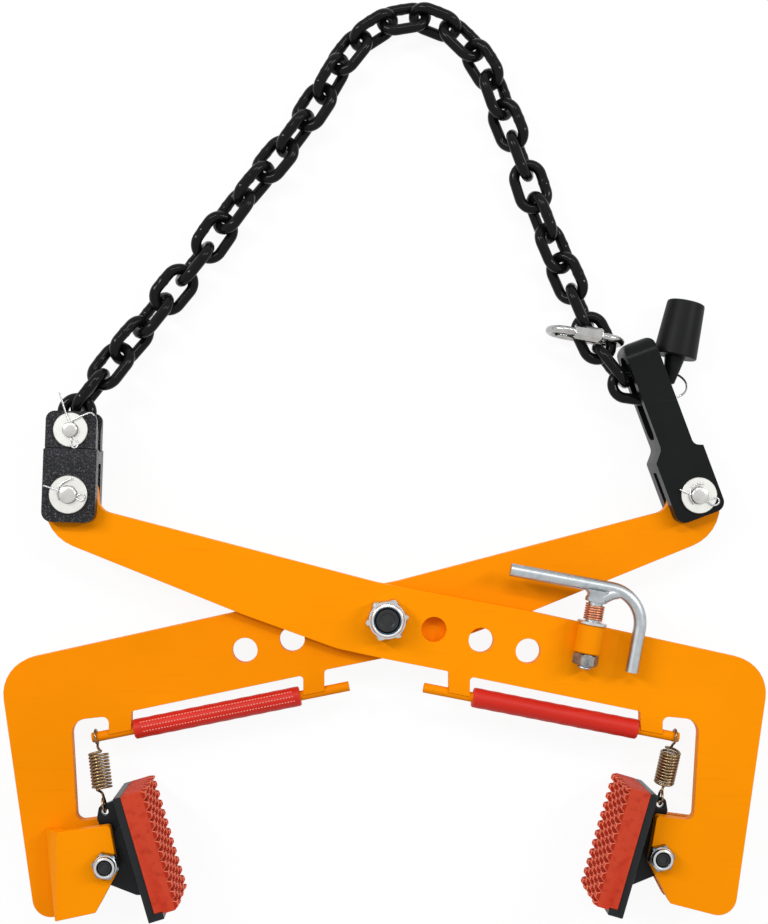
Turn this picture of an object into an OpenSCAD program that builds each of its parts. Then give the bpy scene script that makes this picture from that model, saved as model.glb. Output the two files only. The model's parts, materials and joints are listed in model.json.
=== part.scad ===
// Stone lifting clamp with lifting chain, lying on its back, jaws toward -Y.

/* [Arms] */
// Thickness of the two arm plates
plate_t = 10; // [8:0.5:12]
// Gap between the two arm plates
plate_gap = 0.5; // [0.4:0.1:1]
// Diameter of the pivot bolt
pivot_d = 20; // [16:1:22]
// Distance between neighbouring pivot holes
hole_pitch = 39; // [36:0.5:42]
// Number of spare pivot holes in each arm
spare_holes = 3; // [1:1:3]
// Distance from the pivot to the outside of the jaws at their corner
jaw_reach = 311; // [300:1:320]

/* [Pads] */
// Width of the pads, across the arm plates
pad_w = 60; // [56:1:70]
// Length of the pads along the jaw
pad_l = 97; // [90:1:100]
// Thickness of the rubber without its teeth
rubber_t = 15.3; // [12:0.1:18]
// Height of the teeth
tooth_h = 4.7; // [3:0.1:6]
// Number of rows of teeth along the pad
tooth_rows = 12; // [8:1:16]
// Number of columns of teeth across the pad
tooth_cols = 6; // [4:1:7]
// Tilt of the pads
pad_tilt = 16.5; // [12:0.5:20]
// Diameter of the pad bolts
pad_bolt_d = 12; // [10:1:12]
// Thickness of the lug of the shoe
lug_t = 13.4; // [12:0.1:14]

/* [Handles] */
// Diameter of the handle bars
bar_d = 8; // [6:0.5:9]
// Length of the handle bars
bar_l = 211; // [205:1:216]
// Outer diameter of the grip sleeves
sleeve_d = 16; // [14:0.5:18]
// Length of the grip sleeves
sleeve_l = 136; // [120:1:136]

/* [Chain] */
// Wire diameter of the chain
chain_wire = 9; // [8:0.1:9]
// Inner length of a chain link
link_inner = 27.9; // [27.85:0.05:28.05]
// Outer width of a chain link
link_width = 31.6; // [31.2:0.1:32]
// Wire diameter of the quick link
quick_wire = 6; // [5:0.5:7]

/* [Springs] */
// Wire diameter of the pad springs
spring_wire = 2.4; // [1.6:0.1:2.6]
// Outer diameter of the pad springs
spring_d = 17; // [14:0.5:18]
// Turns of the pad springs
spring_turns = 11; // [8:1:11]

/* [Nodes] */
// Node to draw

/* [Hidden] */
run_fit = 0.08;
press_gap = 0.02;
side_gap = 0.3;
mid_z = pad_w / 2;
arm_z = mid_z + plate_gap / 2;
arm_mid_z = arm_z + plate_t / 2;
arm_top_z = arm_z + plate_t;
ear_t = 8;
ear_top_z = arm_z - lug_t - 2 * side_gap;
chain_top = 499.58;
jaw_low = -239.1;
shift_y = -(chain_top + jaw_low) / 2;
end_pin = [-252, 99.3];
end_pin_d = 14;
chain_pin_d = 12;
hole_dir = -13;
pad_bolt_xy = [220.6, -191.5];
bar_xy = [133.4, -76.4];
bar_angle = -11.2;
spring_top = [233.5, -96.2, arm_mid_z];
spring_low = [225, -148, ear_top_z + lug_t / 2];
lever_xy = [161.3, -15.4];
lever_angle = -10.5;
lever_z = arm_top_z + 11;
block_w = 42;
block_d = 32;
block_tilt = -1.7;
block_pitch = 51.2;
eye_tilt = 20.5;
eye_d = 36;
eye_strip = 8;

// Rounded outlines: every point is [x, y, corner radius].
function flat(v) = [v[0], v[1]];
function unit(v) = v / norm(v);
function heading(v) = atan2(v[1], v[0]);
function wrap(a) = a > 180 ? a - 360 : (a < -180 ? a + 360 : a);
function corner(a, b, c) =
    let(u = unit(flat(a) - flat(b)), w = unit(flat(c) - flat(b)), half = acos(u * w) / 2)
    let(m = flat(b) + unit(u + w) * b[2] / sin(half), t = b[2] / tan(half))
    let(s = heading(flat(b) + u * t - m), d = wrap(heading(flat(b) + w * t - m) - s))
    let(n = max(2, ceil(abs(d) / 12)))
    b[2] == 0 ? [flat(b)] : [for (i = [0 : n]) m + b[2] * [cos(s + d * i / n), sin(s + d * i / n)]];
function rounded(p) =
    [for (i = [0 : len(p) - 1])
        for (q = corner(p[(i + len(p) - 1) % len(p)], p[i], p[(i + 1) % len(p)])) q];

// Turns a piece of the front arm over to the rear arm.
module turned() {
    translate([0, 0, 2 * mid_z])
        rotate([0, 180, 0])
            children();
}

module shifted() {
    translate([0, shift_y, 0])
        children();
}

module bore(xy, d, z0, h) {
    translate([xy[0], xy[1], z0])
        cylinder(h = h, d = d, $fn = 48);
}

module hex_head(af, h) {
    cylinder(h = h, d = af / cos(30), $fn = 6);
}

// Arm plate: end lug at the left, jaw at the right, two lugs for the handle bar below.
arm_outline = [
    [-273, 120.3, 20.9], [-231, 120.3, 20.9], [-231, 87.2, 12], [-8, 29, 60], [114.5, 6, 200],
    [jaw_reach, -37.3, 30], [280.4, -242.9, 15], [229, -229.4, 2], [211.8, -196.9, 3],
    [218.3, -159, 3], [248, -163, 6], [253, -82, 12], [223, -79, 5], [223, -93.6, 0],
    [205, -90.1, 0], [205, -75, 3], [67, -46.6, 3], [67, -62.8, 0], [50, -59.4, 0],
    [50, -42.4, 3], [-1.3, -32.2, 60], [-40, -23.8, 60], [-116, 3.8, 100], [-273, 67.2, 36]
];

module arm_plate() {
    difference() {
        translate([0, 0, arm_z])
            linear_extrude(plate_t)
                polygon(rounded(arm_outline));
        bore([0, 0], pivot_d + 2 * run_fit, arm_z - 1, plate_t + 2);
        for (i = [1 : spare_holes])
            bore(hole_pitch * i * [cos(hole_dir), sin(hole_dir)], pivot_d + 2 * run_fit, arm_z - 1, plate_t + 2);
        bore(end_pin, end_pin_d + 2 * run_fit, arm_z - 1, plate_t + 2);
        bore(pad_bolt_xy, pad_bolt_d + 2 * run_fit, arm_z - 1, plate_t + 2);
        bar_place()
            cylinder(h = bar_l + 20, d = bar_d + 2 * press_gap, center = true, $fn = 32);
    }
}

module front_arm() {
    color("orange")
        shifted()
            arm_plate();
}

module rear_arm() {
    color("orange")
        shifted()
            turned()
                arm_plate();
}

// Jaw ear: joggled plate, the second side of the fork that holds the shoe.
module jaw_ear() {
    difference() {
        intersection() {
            translate([0, 0, ear_top_z - ear_t - 1])
                linear_extrude(40)
                    polygon(rounded([
                        [218.3, -161, 3], [256, -166, 10], [273, -168, 0], [261, -236, 0],
                        [229, -229.4, 2], [211.8, -196.9, 3]
                    ]));
            translate([0, -100, 0])
                rotate([90, 0, 0])
                    linear_extrude(200)
                        polygon([
                            [190, ear_top_z - ear_t], [260, ear_top_z - ear_t], [273, arm_z - 0.02],
                            [263, arm_z - 0.02], [255, ear_top_z], [190, ear_top_z]
                        ]);
        }
        bore(pad_bolt_xy, pad_bolt_d + 2 * run_fit, ear_top_z - ear_t - 1, ear_t + 2);
    }
}

module right_jaw_ear() {
    color("orange")
        shifted()
            jaw_ear();
}

module left_jaw_ear() {
    color("orange")
        shifted()
            turned()
                jaw_ear();
}

// Bolts: hexagon head at the back, lock nut with a plain collar at the front.
module bolt(d, z_head, z_tip, af, head_h) {
    translate([0, 0, z_head - head_h])
        hex_head(af, head_h);
    translate([0, 0, z_head - 0.5])
        cylinder(h = z_tip - z_head + 0.5, d = d, $fn = 48);
}

module lock_nut(d, z0, af, hex_h, collar_d, collar_h) {
    difference() {
        union() {
            translate([0, 0, z0 + press_gap])
                hex_head(af, hex_h);
            translate([0, 0, z0 + hex_h - 0.2])
                cylinder(h = collar_h + 0.2, d = collar_d, $fn = 48);
        }
        translate([0, 0, z0 - 1])
            cylinder(h = hex_h + collar_h + 3, d = d + 2 * press_gap, $fn = 48);
    }
}

module pivot_bolt() {
    color("dimgray")
        shifted()
            bolt(pivot_d, 2 * mid_z - arm_top_z - 0.1, arm_top_z + 17, 30, 12);
}

module pivot_nut() {
    color("silver")
        shifted()
            lock_nut(pivot_d, arm_top_z + 0.1, 30, 15, 26.5, 4.5);
}

module right_pad_bolt() {
    color("silver")
        shifted()
            translate([pad_bolt_xy[0], pad_bolt_xy[1], 0])
                bolt(pad_bolt_d, ear_top_z - ear_t - press_gap, arm_top_z + 10.5, 19, 7);
}

module left_pad_bolt() {
    color("silver")
        shifted()
            translate([-pad_bolt_xy[0], pad_bolt_xy[1], 0])
                bolt(pad_bolt_d, 2 * mid_z - arm_top_z - press_gap, 2 * mid_z - ear_top_z + ear_t + 10.5, 19, 7);
}

module right_pad_nut() {
    color("silver")
        shifted()
            translate([pad_bolt_xy[0], pad_bolt_xy[1], 0])
                lock_nut(pad_bolt_d, arm_top_z, 19, 8, 17, 3.5);
}

module left_pad_nut() {
    color("silver")
        shifted()
            translate([-pad_bolt_xy[0], pad_bolt_xy[1], 0])
                lock_nut(pad_bolt_d, 2 * mid_z - ear_top_z + ear_t, 19, 8, 17, 3.5);
}

// Pads and shoes are drawn with x away from the face, y along the pad, at the bolt.
back_x = -26.4;
face_x = back_x - rubber_t;
shoe_t = 6;
pad_low = -48;
pad_high = pad_low + pad_l;

module pad_place() {
    translate([pad_bolt_xy[0], pad_bolt_xy[1], 0])
        rotate([0, 0, -pad_tilt])
            children();
}

module shoe() {
    lug_low = ear_top_z + side_gap;
    difference() {
        union() {
            translate([back_x + press_gap, pad_low - 4, 0])
                cube([shoe_t, pad_l + 4, pad_w]);
            translate([back_x - 6.6, pad_low - 4, 0])
                cube([8, 5.6, pad_w]);
            translate([0, 0, lug_low])
                linear_extrude(lug_t)
                    polygon(rounded([
                        [-22, 26, 0], [-22, -34, 0], [-14, -32, 4], [14, -10, 8],
                        [14, 12, 12], [0, 18, 6]
                    ]));
            translate([0, 0, lug_low + lug_t / 2 - 3])
                linear_extrude(6)
                    polygon(rounded([
                        [-22, 45, 0], [-22, 10, 0], [-2, 16, 3], [0, 34.5, 3], [-4, 43, 3]
                    ]));
        }
        translate([0, 0, -1])
            cylinder(h = pad_w + 2, d = pad_bolt_d + 2 * run_fit, $fn = 48);
        rotate([0, 0, pad_tilt])
            translate([spring_low[0] - 0.83 - pad_bolt_xy[0], spring_low[1] - 5.03 - pad_bolt_xy[1], 0])
                cylinder(h = pad_w, d = 5.8, $fn = 32);
    }
}

module rubber_pad() {
    step = pad_l / tooth_rows;
    col = pad_w / tooth_cols;
    teeth = [for (i = [0 : tooth_rows - 1]) for (k = [0 : 3])
        [face_x - (k == 1 || k == 2 ? tooth_h : 0), pad_low + step * (i + [0.05, 0.36, 0.64, 0.95][k])]];
    difference() {
        linear_extrude(pad_w)
            polygon(concat(
                teeth,
                [[face_x, pad_high], [back_x, pad_high], [back_x, pad_low + 1.8],
                 [back_x - 6.7, pad_low + 1.8], [back_x - 6.7, pad_low]]
            ));
        for (j = [1 : tooth_cols - 1])
            translate([face_x, pad_low - 5, col * j])
                rotate([-90, 0, 0])
                    linear_extrude(pad_l + 10)
                        polygon([[0, 0], [-tooth_h - 1, -col * 0.33], [-tooth_h - 1, col * 0.33]]);
    }
}

module right_shoe() {
    color("dimgray")
        shifted()
            pad_place()
                shoe();
}

module left_shoe() {
    color("dimgray")
        shifted()
            turned()
                pad_place()
                    shoe();
}

module right_pad() {
    color("red")
        shifted()
            pad_place()
                rubber_pad();
}

module left_pad() {
    color("red")
        shifted()
            turned()
                pad_place()
                    rubber_pad();
}

// Wire swept along a helix, with six sides.
module helix(r, wire, pitch, turns, steps) {
    n = turns * steps;
    rise = atan(pitch / (2 * PI * r));
    pts = [for (i = [0 : n]) for (k = [0 : 5])
        let(a = 360 * i / steps, q = wire / 2 * cos(60 * k), w = wire / 2 * sin(60 * k))
        [
            (r + q) * cos(a) + w * sin(rise) * sin(a),
            (r + q) * sin(a) - w * sin(rise) * cos(a),
            pitch * i / steps + w * cos(rise)
        ]];
    sides = [for (i = [0 : n - 1]) for (k = [0 : 5])
        [6 * i + k, 6 * i + (k + 1) % 6, 6 * i + 6 + (k + 1) % 6, 6 * i + 6 + k]];
    polyhedron(
        points = pts,
        faces = concat([[5, 4, 3, 2, 1, 0]], sides, [[for (k = [0 : 5]) 6 * n + k]]),
        convexity = 10
    );
}

module ring_wire(r, wire, angle) {
    rotate_extrude(angle = angle, $fn = 32)
        translate([r, 0])
            circle(d = wire, $fn = 12);
}

// Pad spring: close coil, with a hook at each end.
module pad_spring() {
    span = spring_top - spring_low;
    l = norm(span);
    coil_r = (spring_d - spring_wire) / 2;
    coil_l = spring_turns * (spring_wire + 0.15);
    hook_r = 5.6;
    z0 = (l - coil_l) / 2;
    translate(spring_low)
        rotate([0, 0, heading(span)])
            rotate([0, acos(span[2] / l), 0]) {
                translate([0, 0, z0])
                    helix(coil_r, spring_wire, spring_wire + 0.15, spring_turns, 14);
                for (e = [0, 1])
                    translate([0, 0, e * l])
                        rotate([0, 180 * e, 0]) {
                            rotate([90, 0, 0])
                                ring_wire(hook_r, spring_wire, 300);
                            translate([0, 0, hook_r - 0.8])
                                cylinder(h = z0 - hook_r + 1.6, d = spring_wire, $fn = 12);
                            translate([-0.2, 0, z0])
                                rotate([0, 90, 0])
                                    cylinder(h = coil_r + 0.2, d = spring_wire, $fn = 12);
                        }
            }
}

module right_pad_spring() {
    color("goldenrod")
        shifted()
            pad_spring();
}

module left_pad_spring() {
    color("goldenrod")
        shifted()
            turned()
                pad_spring();
}

// Handle bars and their grip sleeves.
module bar_place() {
    translate([bar_xy[0], bar_xy[1], arm_mid_z])
        rotate([0, 0, bar_angle])
            rotate([0, 90, 0])
                children();
}

module handle_bar() {
    bar_place()
        cylinder(h = bar_l, d = bar_d, center = true, $fn = 32);
}

module grip_sleeve() {
    bar_place()
        translate([0, 0, 2.9])
            difference() {
                cylinder(h = sleeve_l, d = sleeve_d, center = true, $fn = 40);
                cylinder(h = sleeve_l + 2, d = bar_d + 2 * press_gap, center = true, $fn = 32);
            }
}

module right_handle_bar() {
    color("orange")
        shifted()
            handle_bar();
}

module left_handle_bar() {
    color("orange")
        shifted()
            turned()
                handle_bar();
}

module right_grip_sleeve() {
    color("red")
        shifted()
            grip_sleeve();
}

module left_grip_sleeve() {
    color("red")
        shifted()
            turned()
                grip_sleeve();
}

// Lock lever group: z runs up along the spindle, toward the chain.
spindle_d = 12;
bush_d = 22;
bush_l = 23;
lever_bar = 8.4;
lever_high = 43;
washer_t = 2.6;

module lever_place() {
    translate([lever_xy[0], lever_xy[1], lever_z])
        rotate([0, 0, lever_angle])
            rotate([-90, 0, 0])
                children();
}

module lock_lever() {
    bend = 27;
    color("lightsteelblue")
        shifted()
            lever_place() {
                translate([-71, -lever_bar / 2, lever_high - lever_bar / 2])
                    cube([80.6, lever_bar, lever_bar]);
                translate([9.5, lever_bar / 2, lever_high - bend])
                    rotate([90, 0, 0])
                        linear_extrude(lever_bar)
                            difference() {
                                intersection() {
                                    circle(r = bend + lever_bar / 2, $fn = 64);
                                    square([100, 100]);
                                }
                                circle(r = bend - lever_bar / 2, $fn = 64);
                            }
                translate([9.5 + bend - lever_bar / 2, -lever_bar / 2, -17])
                    cube([lever_bar, lever_bar, lever_high - bend + 17.1]);
            }
}

module lever_spindle() {
    color("lightsteelblue")
        shifted()
            lever_place() {
                translate([0, 0, -24])
                    cylinder(h = 55, d = spindle_d, $fn = 40);
                translate([0, 0, 30])
                    cylinder(h = lever_high - lever_bar / 2 - 30 - press_gap, d = 18, $fn = 40);
            }
}

module lever_spring() {
    color("chocolate")
        shifted()
            lever_place()
                translate([0, 0, bush_l / 2 + washer_t + 1.6])
                    helix(7.5, 2, 2.2, 5, 16);
}

module lever_washer() {
    color("gainsboro")
        shifted()
            lever_place()
                translate([0, 0, bush_l / 2 + 0.05])
                    difference() {
                        cylinder(h = washer_t, d = 24, $fn = 40);
                        translate([0, 0, -1])
                            cylinder(h = 6, d = spindle_d + 2 * run_fit, $fn = 40);
                    }
}

module lever_bush() {
    color("orange")
        shifted()
            lever_place()
                difference() {
                    cylinder(h = bush_l, d = bush_d - 2 * press_gap, center = true, $fn = 48);
                    cylinder(h = bush_l + 2, d = spindle_d + 2 * run_fit, center = true, $fn = 40);
                }
}

module lever_nut() {
    color("silver")
        shifted()
            lever_place()
                translate([0, 0, -bush_l / 2 - 9.6])
                    difference() {
                        hex_head(18, 9.2);
                        translate([0, 0, -1])
                            cylinder(h = 12, d = spindle_d + 2 * press_gap, $fn = 40);
                    }
}

// Link block: fork for the arm below, fork for the chain above.
module block_place() {
    translate([end_pin[0], end_pin[1], arm_mid_z])
        rotate([0, 0, block_tilt])
            children();
}

module link_block() {
    w = block_w;
    arm_slot = plate_t + 2 * side_gap + 0.1;
    chain_slot = chain_wire + 2.6;
    color("dimgray")
        shifted()
            block_place()
                difference() {
                    translate([0, 0, -block_d / 2])
                        linear_extrude(block_d)
                            polygon(rounded([
                                [-w / 2, -22, 8], [w / 2, -22, 8], [w / 2, 36, 0], [w / 2 - 1, 36, 0],
                                [w / 2 - 1, 66, 7], [1 - w / 2, 66, 7], [1 - w / 2, 36, 0], [-w / 2, 36, 0]
                            ]));
                    translate([-w, -30, -arm_slot / 2])
                        cube([2 * w, 55, arm_slot]);
                    translate([-w, 35.2, -chain_slot / 2])
                        cube([2 * w, 40, chain_slot]);
                    translate([-w, 0, 0])
                        rotate([90, 0, 90])
                            linear_extrude(2 * w)
                                polygon([[48, -5], [48, 5], [70, 16], [70, -16]]);
                    translate([-w, 35.4, block_d / 2 - 1.2])
                        cube([2 * w, 1.4, 3]);
                    bore([0, 0], end_pin_d + 2 * press_gap, -block_d, 2 * block_d);
                    bore([0, block_pitch], chain_pin_d + 2 * press_gap, -block_d, 2 * block_d);
                }
}

// Clevis pin with a flat head at the back.
module clevis_pin(d, depth, out) {
    translate([0, 0, -depth / 2 - 3])
        cylinder(h = 3 - press_gap, d = d + 6, $fn = 40);
    translate([0, 0, -depth / 2 - 0.5])
        cylinder(h = depth + out + 0.5, d = d, $fn = 40);
}

module pin_washer(d, od, depth) {
    translate([0, 0, depth / 2 + press_gap])
        difference() {
            cylinder(h = 2.2, d = od, $fn = 48);
            translate([0, 0, -1])
                cylinder(h = 5, d = d + 2 * press_gap, $fn = 40);
        }
}

// Cotter pin: eye on one side, two legs bent apart on the other.
module cotter_pin(d, depth, turn, leg) {
    wire = 1.6;
    translate([0, 0, depth / 2 + 2.2 + wire / 2 + 0.3])
        rotate([0, 0, turn]) {
            translate([d / 2 + 3.6, 0, 0])
                ring_wire(2.6, wire, 360);
            translate([-d / 2 - 10, -0.5, 0])
                rotate([0, 90, 0])
                    cylinder(h = d + 11.7, d = wire, $fn = 12);
            translate([-d / 2 - 1.2, -0.6, 0])
                rotate([0, -90, leg])
                    cylinder(h = 14, d = wire - 0.1, $fn = 12);
        }
}

module pin_hole(d, depth, turn) {
    translate([0, 0, depth / 2 + 3.3])
        rotate([0, 0, turn])
            rotate([0, 90, 0])
                translate([0, -0.5, 0])
                    cylinder(h = d + 4, d = 1.6 + 2 * press_gap, center = true, $fn = 12);
}

module block_arm_pin() {
    color("gainsboro")
        shifted()
            block_place()
                difference() {
                    clevis_pin(end_pin_d, block_d, 6.5);
                    pin_hole(end_pin_d, block_d, -20);
                }
}

module block_chain_pin() {
    color("gainsboro")
        shifted()
            block_place()
                translate([0, block_pitch, 0])
                    difference() {
                        clevis_pin(chain_pin_d, block_d, 6.5);
                        pin_hole(chain_pin_d, block_d, -70);
                    }
}

module block_washers() {
    color("gainsboro")
        shifted()
            block_place() {
                pin_washer(end_pin_d, 30, block_d);
                translate([0, block_pitch, 0])
                    pin_washer(chain_pin_d, 27, block_d);
            }
}

module block_cotter_pins() {
    color("silver")
        shifted()
            block_place() {
                cotter_pin(end_pin_d, block_d, -20, -60);
                translate([0, block_pitch, 0])
                    cotter_pin(chain_pin_d, block_d, -70, -50);
            }
}

// Chain eye: long bow with a fork for the rear arm. y runs from the pin to the bow.
module eye_place() {
    translate([-end_pin[0], end_pin[1], 2 * mid_z - arm_mid_z])
        rotate([0, 0, eye_tilt])
            children();
}

module chain_eye() {
    arm_slot = plate_t + 2 * side_gap + 0.1;
    color("dimgray")
        shifted()
            eye_place()
                difference() {
                    intersection() {
                        translate([0, 0, -eye_d])
                            linear_extrude(2 * eye_d)
                                polygon(rounded([
                                    [-23.4, -17.5, 8], [18, -17.5, 8], [18, 37, 0], [10.8, 40, 6],
                                    [10.8, 135, 6], [-15.6, 135, 8], [-15.6, 45, 8], [-23.4, 36, 3]
                                ]));
                        translate([-50, 0, 0])
                            rotate([90, 0, 90])
                                linear_extrude(100)
                                    polygon(rounded([
                                        [-18, -eye_d / 2, 0], [135, -eye_d / 2, 14],
                                        [135, eye_d / 2, 14], [-18, eye_d / 2, 0]
                                    ]));
                    }
                    translate([-50, 0, 0])
                        rotate([90, 0, 90])
                            linear_extrude(100)
                                polygon(rounded([
                                    [54, eye_strip - eye_d / 2, 6], [126, eye_strip - eye_d / 2, 8],
                                    [126, eye_d / 2 - eye_strip, 8], [54, eye_d / 2 - eye_strip, 6]
                                ]));
                    translate([-50, -30, -arm_slot / 2])
                        cube([100, 58, arm_slot]);
                    bore([0, 0], end_pin_d + 2 * press_gap, -eye_d, 2 * eye_d);
                }
}

module eye_pin() {
    color("gainsboro")
        shifted()
            eye_place()
                difference() {
                    clevis_pin(end_pin_d, eye_d, 6.5);
                    pin_hole(end_pin_d, eye_d, -60);
                }
}

module eye_washer() {
    color("gainsboro")
        shifted()
            eye_place()
                pin_washer(end_pin_d, 29, eye_d);
}

module eye_cotter_pin() {
    color("silver")
        shifted()
            eye_place()
                cotter_pin(end_pin_d, eye_d, -60, -25);
}

// Chain: links stepped along a route, each link turned about its own length.
route = [
    [-246.3, 171, 35.2], [-195, 242, 16], [-150.2, 298.3, 16], [-116.2, 340.1, 16],
    [-81.7, 381.5, 16], [-66.3, 403.5, 16], [-52.3, 426.5, 16], [-41.3, 451.1, 16],
    [-22.9, 470.8, 16], [1.1, 482.9, 16], [27.9, 486, 16], [54, 479.6, 16], [76.3, 464.6, 16],
    [92.1, 442.8, 16], [99.4, 416.8, 16], [107.6, 391.2, 16], [129, 328, 16], [152, 278, 16],
    [176, 217, 20], [193, 195, 24]
];
rolls = [
    85, -25, 50, -55, 20, -70, 25, -45, 65, -25, 70, -25, 60, -35, 60, -30, 60, -35, 50, -45,
    40, -70, 5, 75, -35, 40, -70, 5, -85
];
link_count = len(rolls);
function along(i) = i == 0 ? 0 : along(i - 1) + norm(route[i] - route[i - 1]);
stations = [for (i = [0 : len(route) - 1]) along(i)];
route_l = stations[len(route) - 1];
function point_at(s) =
    [for (k = [0 : 2]) lookup(s, [for (i = [0 : len(route) - 1]) [stations[i], route[i][k]]])];

module chain_link() {
    r = (link_width - chain_wire) / 2;
    straight = link_inner / 2 - r + chain_wire / 2;
    for (e = [0, 180])
        rotate([0, 0, e]) {
            translate([straight, 0, 0])
                rotate([0, 0, -90])
                    rotate_extrude(angle = 180, $fn = 40)
                        translate([r, 0])
                            circle(d = chain_wire, $fn = 20);
            translate([-straight, r, 0])
                rotate([0, 90, 0])
                    cylinder(h = 2 * straight, d = chain_wire, $fn = 20);
        }
}

module route_link(n) {
    a = point_at(route_l * (n - 1) / link_count);
    b = point_at(route_l * n / link_count);
    d = b - a;
    translate((a + b) / 2)
        rotate([0, -asin(d[2] / norm(d)), heading(d)])
            rotate([rolls[n - 1], 0, 0])
                chain_link();
}

module route_links(first, last) {
    color("dimgray")
        shifted()
            for (n = [first : last])
                route_link(n);
}

module chain_end_link() {
    color("dimgray")
        shifted()
            block_place()
                translate([0, block_pitch, 0])
                    rotate([0, 0, -6])
                        translate([0, link_inner / 2 - chain_pin_d / 2 - 0.45, 0])
                            rotate([0, 0, 90])
                                chain_link();
}

module chain_left_run() {
    route_links(1, 9);
}

module chain_left_bend() {
    route_links(10, 12);
}

module chain_crown() {
    route_links(13, 19);
}

module chain_right_bend() {
    route_links(20, 22);
}

module chain_right_run() {
    route_links(23, 27);
}

module chain_quick_link_loop() {
    route_links(28, 28);
}

module chain_turn_link() {
    route_links(29, 29);
}

last_link = [204, 189.2, 24.8];

module chain_last_link() {
    color("dimgray")
        shifted()
            translate(last_link)
                rotate([0, 0, -8])
                    chain_link();
}

// Quick link round the chain, closed by a hexagon sleeve.
quick_w = 33;
quick_l = 66;

module quick_place() {
    translate((point_at(route_l * 27 / link_count) + point_at(route_l * 28 / link_count)) / 2 + [-7.9, 1.4, 0.8])
        rotate([0, 0, -10])
            rotate([86, 0, 0])
                children();
}

module quick_link_body() {
    r = (quick_w - quick_wire) / 2;
    half = quick_l / 2 - quick_w / 2;
    color("silver")
        shifted()
            quick_place()
                for (e = [0, 180])
                    rotate([0, 0, e]) {
                        translate([half, 0, 0])
                            rotate([0, 0, -90])
                                rotate_extrude(angle = 180, $fn = 40)
                                    translate([r, 0])
                                        circle(d = quick_wire, $fn = 20);
                        translate([-half, r, 0])
                            rotate([0, 90, 0])
                                cylinder(h = 2 * half, d = quick_wire, $fn = 20);
                    }
}

module quick_link_sleeve() {
    color("silver")
        shifted()
            quick_place()
                translate([-11, (quick_w - quick_wire) / 2, 0])
                    rotate([0, 90, 0])
                        difference() {
                            hex_head(10.5, 23);
                            translate([0, 0, -1])
                                cylinder(h = 26, d = quick_wire + 2 * run_fit, $fn = 20);
                        }
}

// Tail of the chain: split ring and tapered grip.
ring_xyz = [228, 188.2, 24.8];
ring_r = 12.8;
ring_wire_d = 1.8;
ring_tilt = 43;
grip_tilt = -12.4;

module split_ring() {
    color("silver")
        shifted()
            translate(ring_xyz)
                rotate([-ring_tilt, 0, 0])
                    ring_wire(ring_r, ring_wire_d, 360);
}

module tail_grip() {
    color("dimgray")
        shifted()
            difference() {
                translate([238.6, 213.6, 18.2])
                    rotate([0, 0, grip_tilt])
                        rotate([-90, 0, 0]) {
                            cylinder(h = 46, d1 = 36, d2 = 31, $fn = 56);
                            translate([0, 0, -23])
                                cylinder(h = 24, d1 = 9, d2 = 17, $fn = 40);
                        }
                translate(ring_xyz)
                    rotate([-ring_tilt, 0, 0])
                        ring_wire(ring_r, ring_wire_d + 1.6, 360);
            }
}

front_arm();
rear_arm();
right_jaw_ear();
left_jaw_ear();
pivot_bolt();
pivot_nut();
right_pad_bolt();
right_pad_nut();
left_pad_bolt();
left_pad_nut();
right_shoe();
left_shoe();
right_pad();
left_pad();
right_pad_spring();
left_pad_spring();
right_handle_bar();
left_handle_bar();
right_grip_sleeve();
left_grip_sleeve();
lock_lever();
lever_spindle();
lever_spring();
lever_washer();
lever_bush();
lever_nut();
link_block();
block_arm_pin();
block_chain_pin();
block_washers();
block_cotter_pins();
chain_eye();
eye_pin();
eye_washer();
eye_cotter_pin();
chain_end_link();
chain_left_run();
chain_left_bend();
chain_crown();
chain_right_bend();
chain_right_run();
chain_quick_link_loop();
chain_turn_link();
chain_last_link();
quick_link_body();
quick_link_sleeve();
split_ring();
tail_grip();
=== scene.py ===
"""Stone lifting clamp with its lifting chain, lying on its back on a pale floor."""
import json
import math

import bmesh
import bpy
from mathutils import Matrix, Vector

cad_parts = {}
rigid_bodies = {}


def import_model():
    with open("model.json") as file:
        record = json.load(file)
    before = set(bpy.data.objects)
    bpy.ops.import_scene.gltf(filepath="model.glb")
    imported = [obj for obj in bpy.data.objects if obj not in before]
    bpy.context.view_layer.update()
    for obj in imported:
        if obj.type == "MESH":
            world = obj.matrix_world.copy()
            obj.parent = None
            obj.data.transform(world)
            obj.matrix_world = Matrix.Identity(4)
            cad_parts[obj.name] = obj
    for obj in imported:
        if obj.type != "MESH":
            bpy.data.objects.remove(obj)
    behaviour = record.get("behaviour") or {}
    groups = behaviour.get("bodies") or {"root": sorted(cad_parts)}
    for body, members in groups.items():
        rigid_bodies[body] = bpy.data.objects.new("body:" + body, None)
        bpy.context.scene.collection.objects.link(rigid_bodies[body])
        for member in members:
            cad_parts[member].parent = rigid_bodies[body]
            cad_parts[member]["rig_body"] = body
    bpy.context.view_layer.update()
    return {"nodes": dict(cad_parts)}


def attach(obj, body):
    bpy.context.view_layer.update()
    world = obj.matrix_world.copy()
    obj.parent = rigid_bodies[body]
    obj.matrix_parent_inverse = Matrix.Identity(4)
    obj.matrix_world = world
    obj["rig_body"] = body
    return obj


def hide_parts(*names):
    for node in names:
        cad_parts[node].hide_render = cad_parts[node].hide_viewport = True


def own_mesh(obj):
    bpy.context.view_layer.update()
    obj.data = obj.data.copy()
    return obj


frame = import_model()

# Camera, floor and lights.
# The clamp is seen from above, a little to the left of its bolt, on a white studio floor.
# Points are given from the pivot bolt in millimetres and moved into the shared frame.
pivot_y = -130.24


def at(x, y, z):
    return Vector((x, y + pivot_y, z)) / 1000


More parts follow.
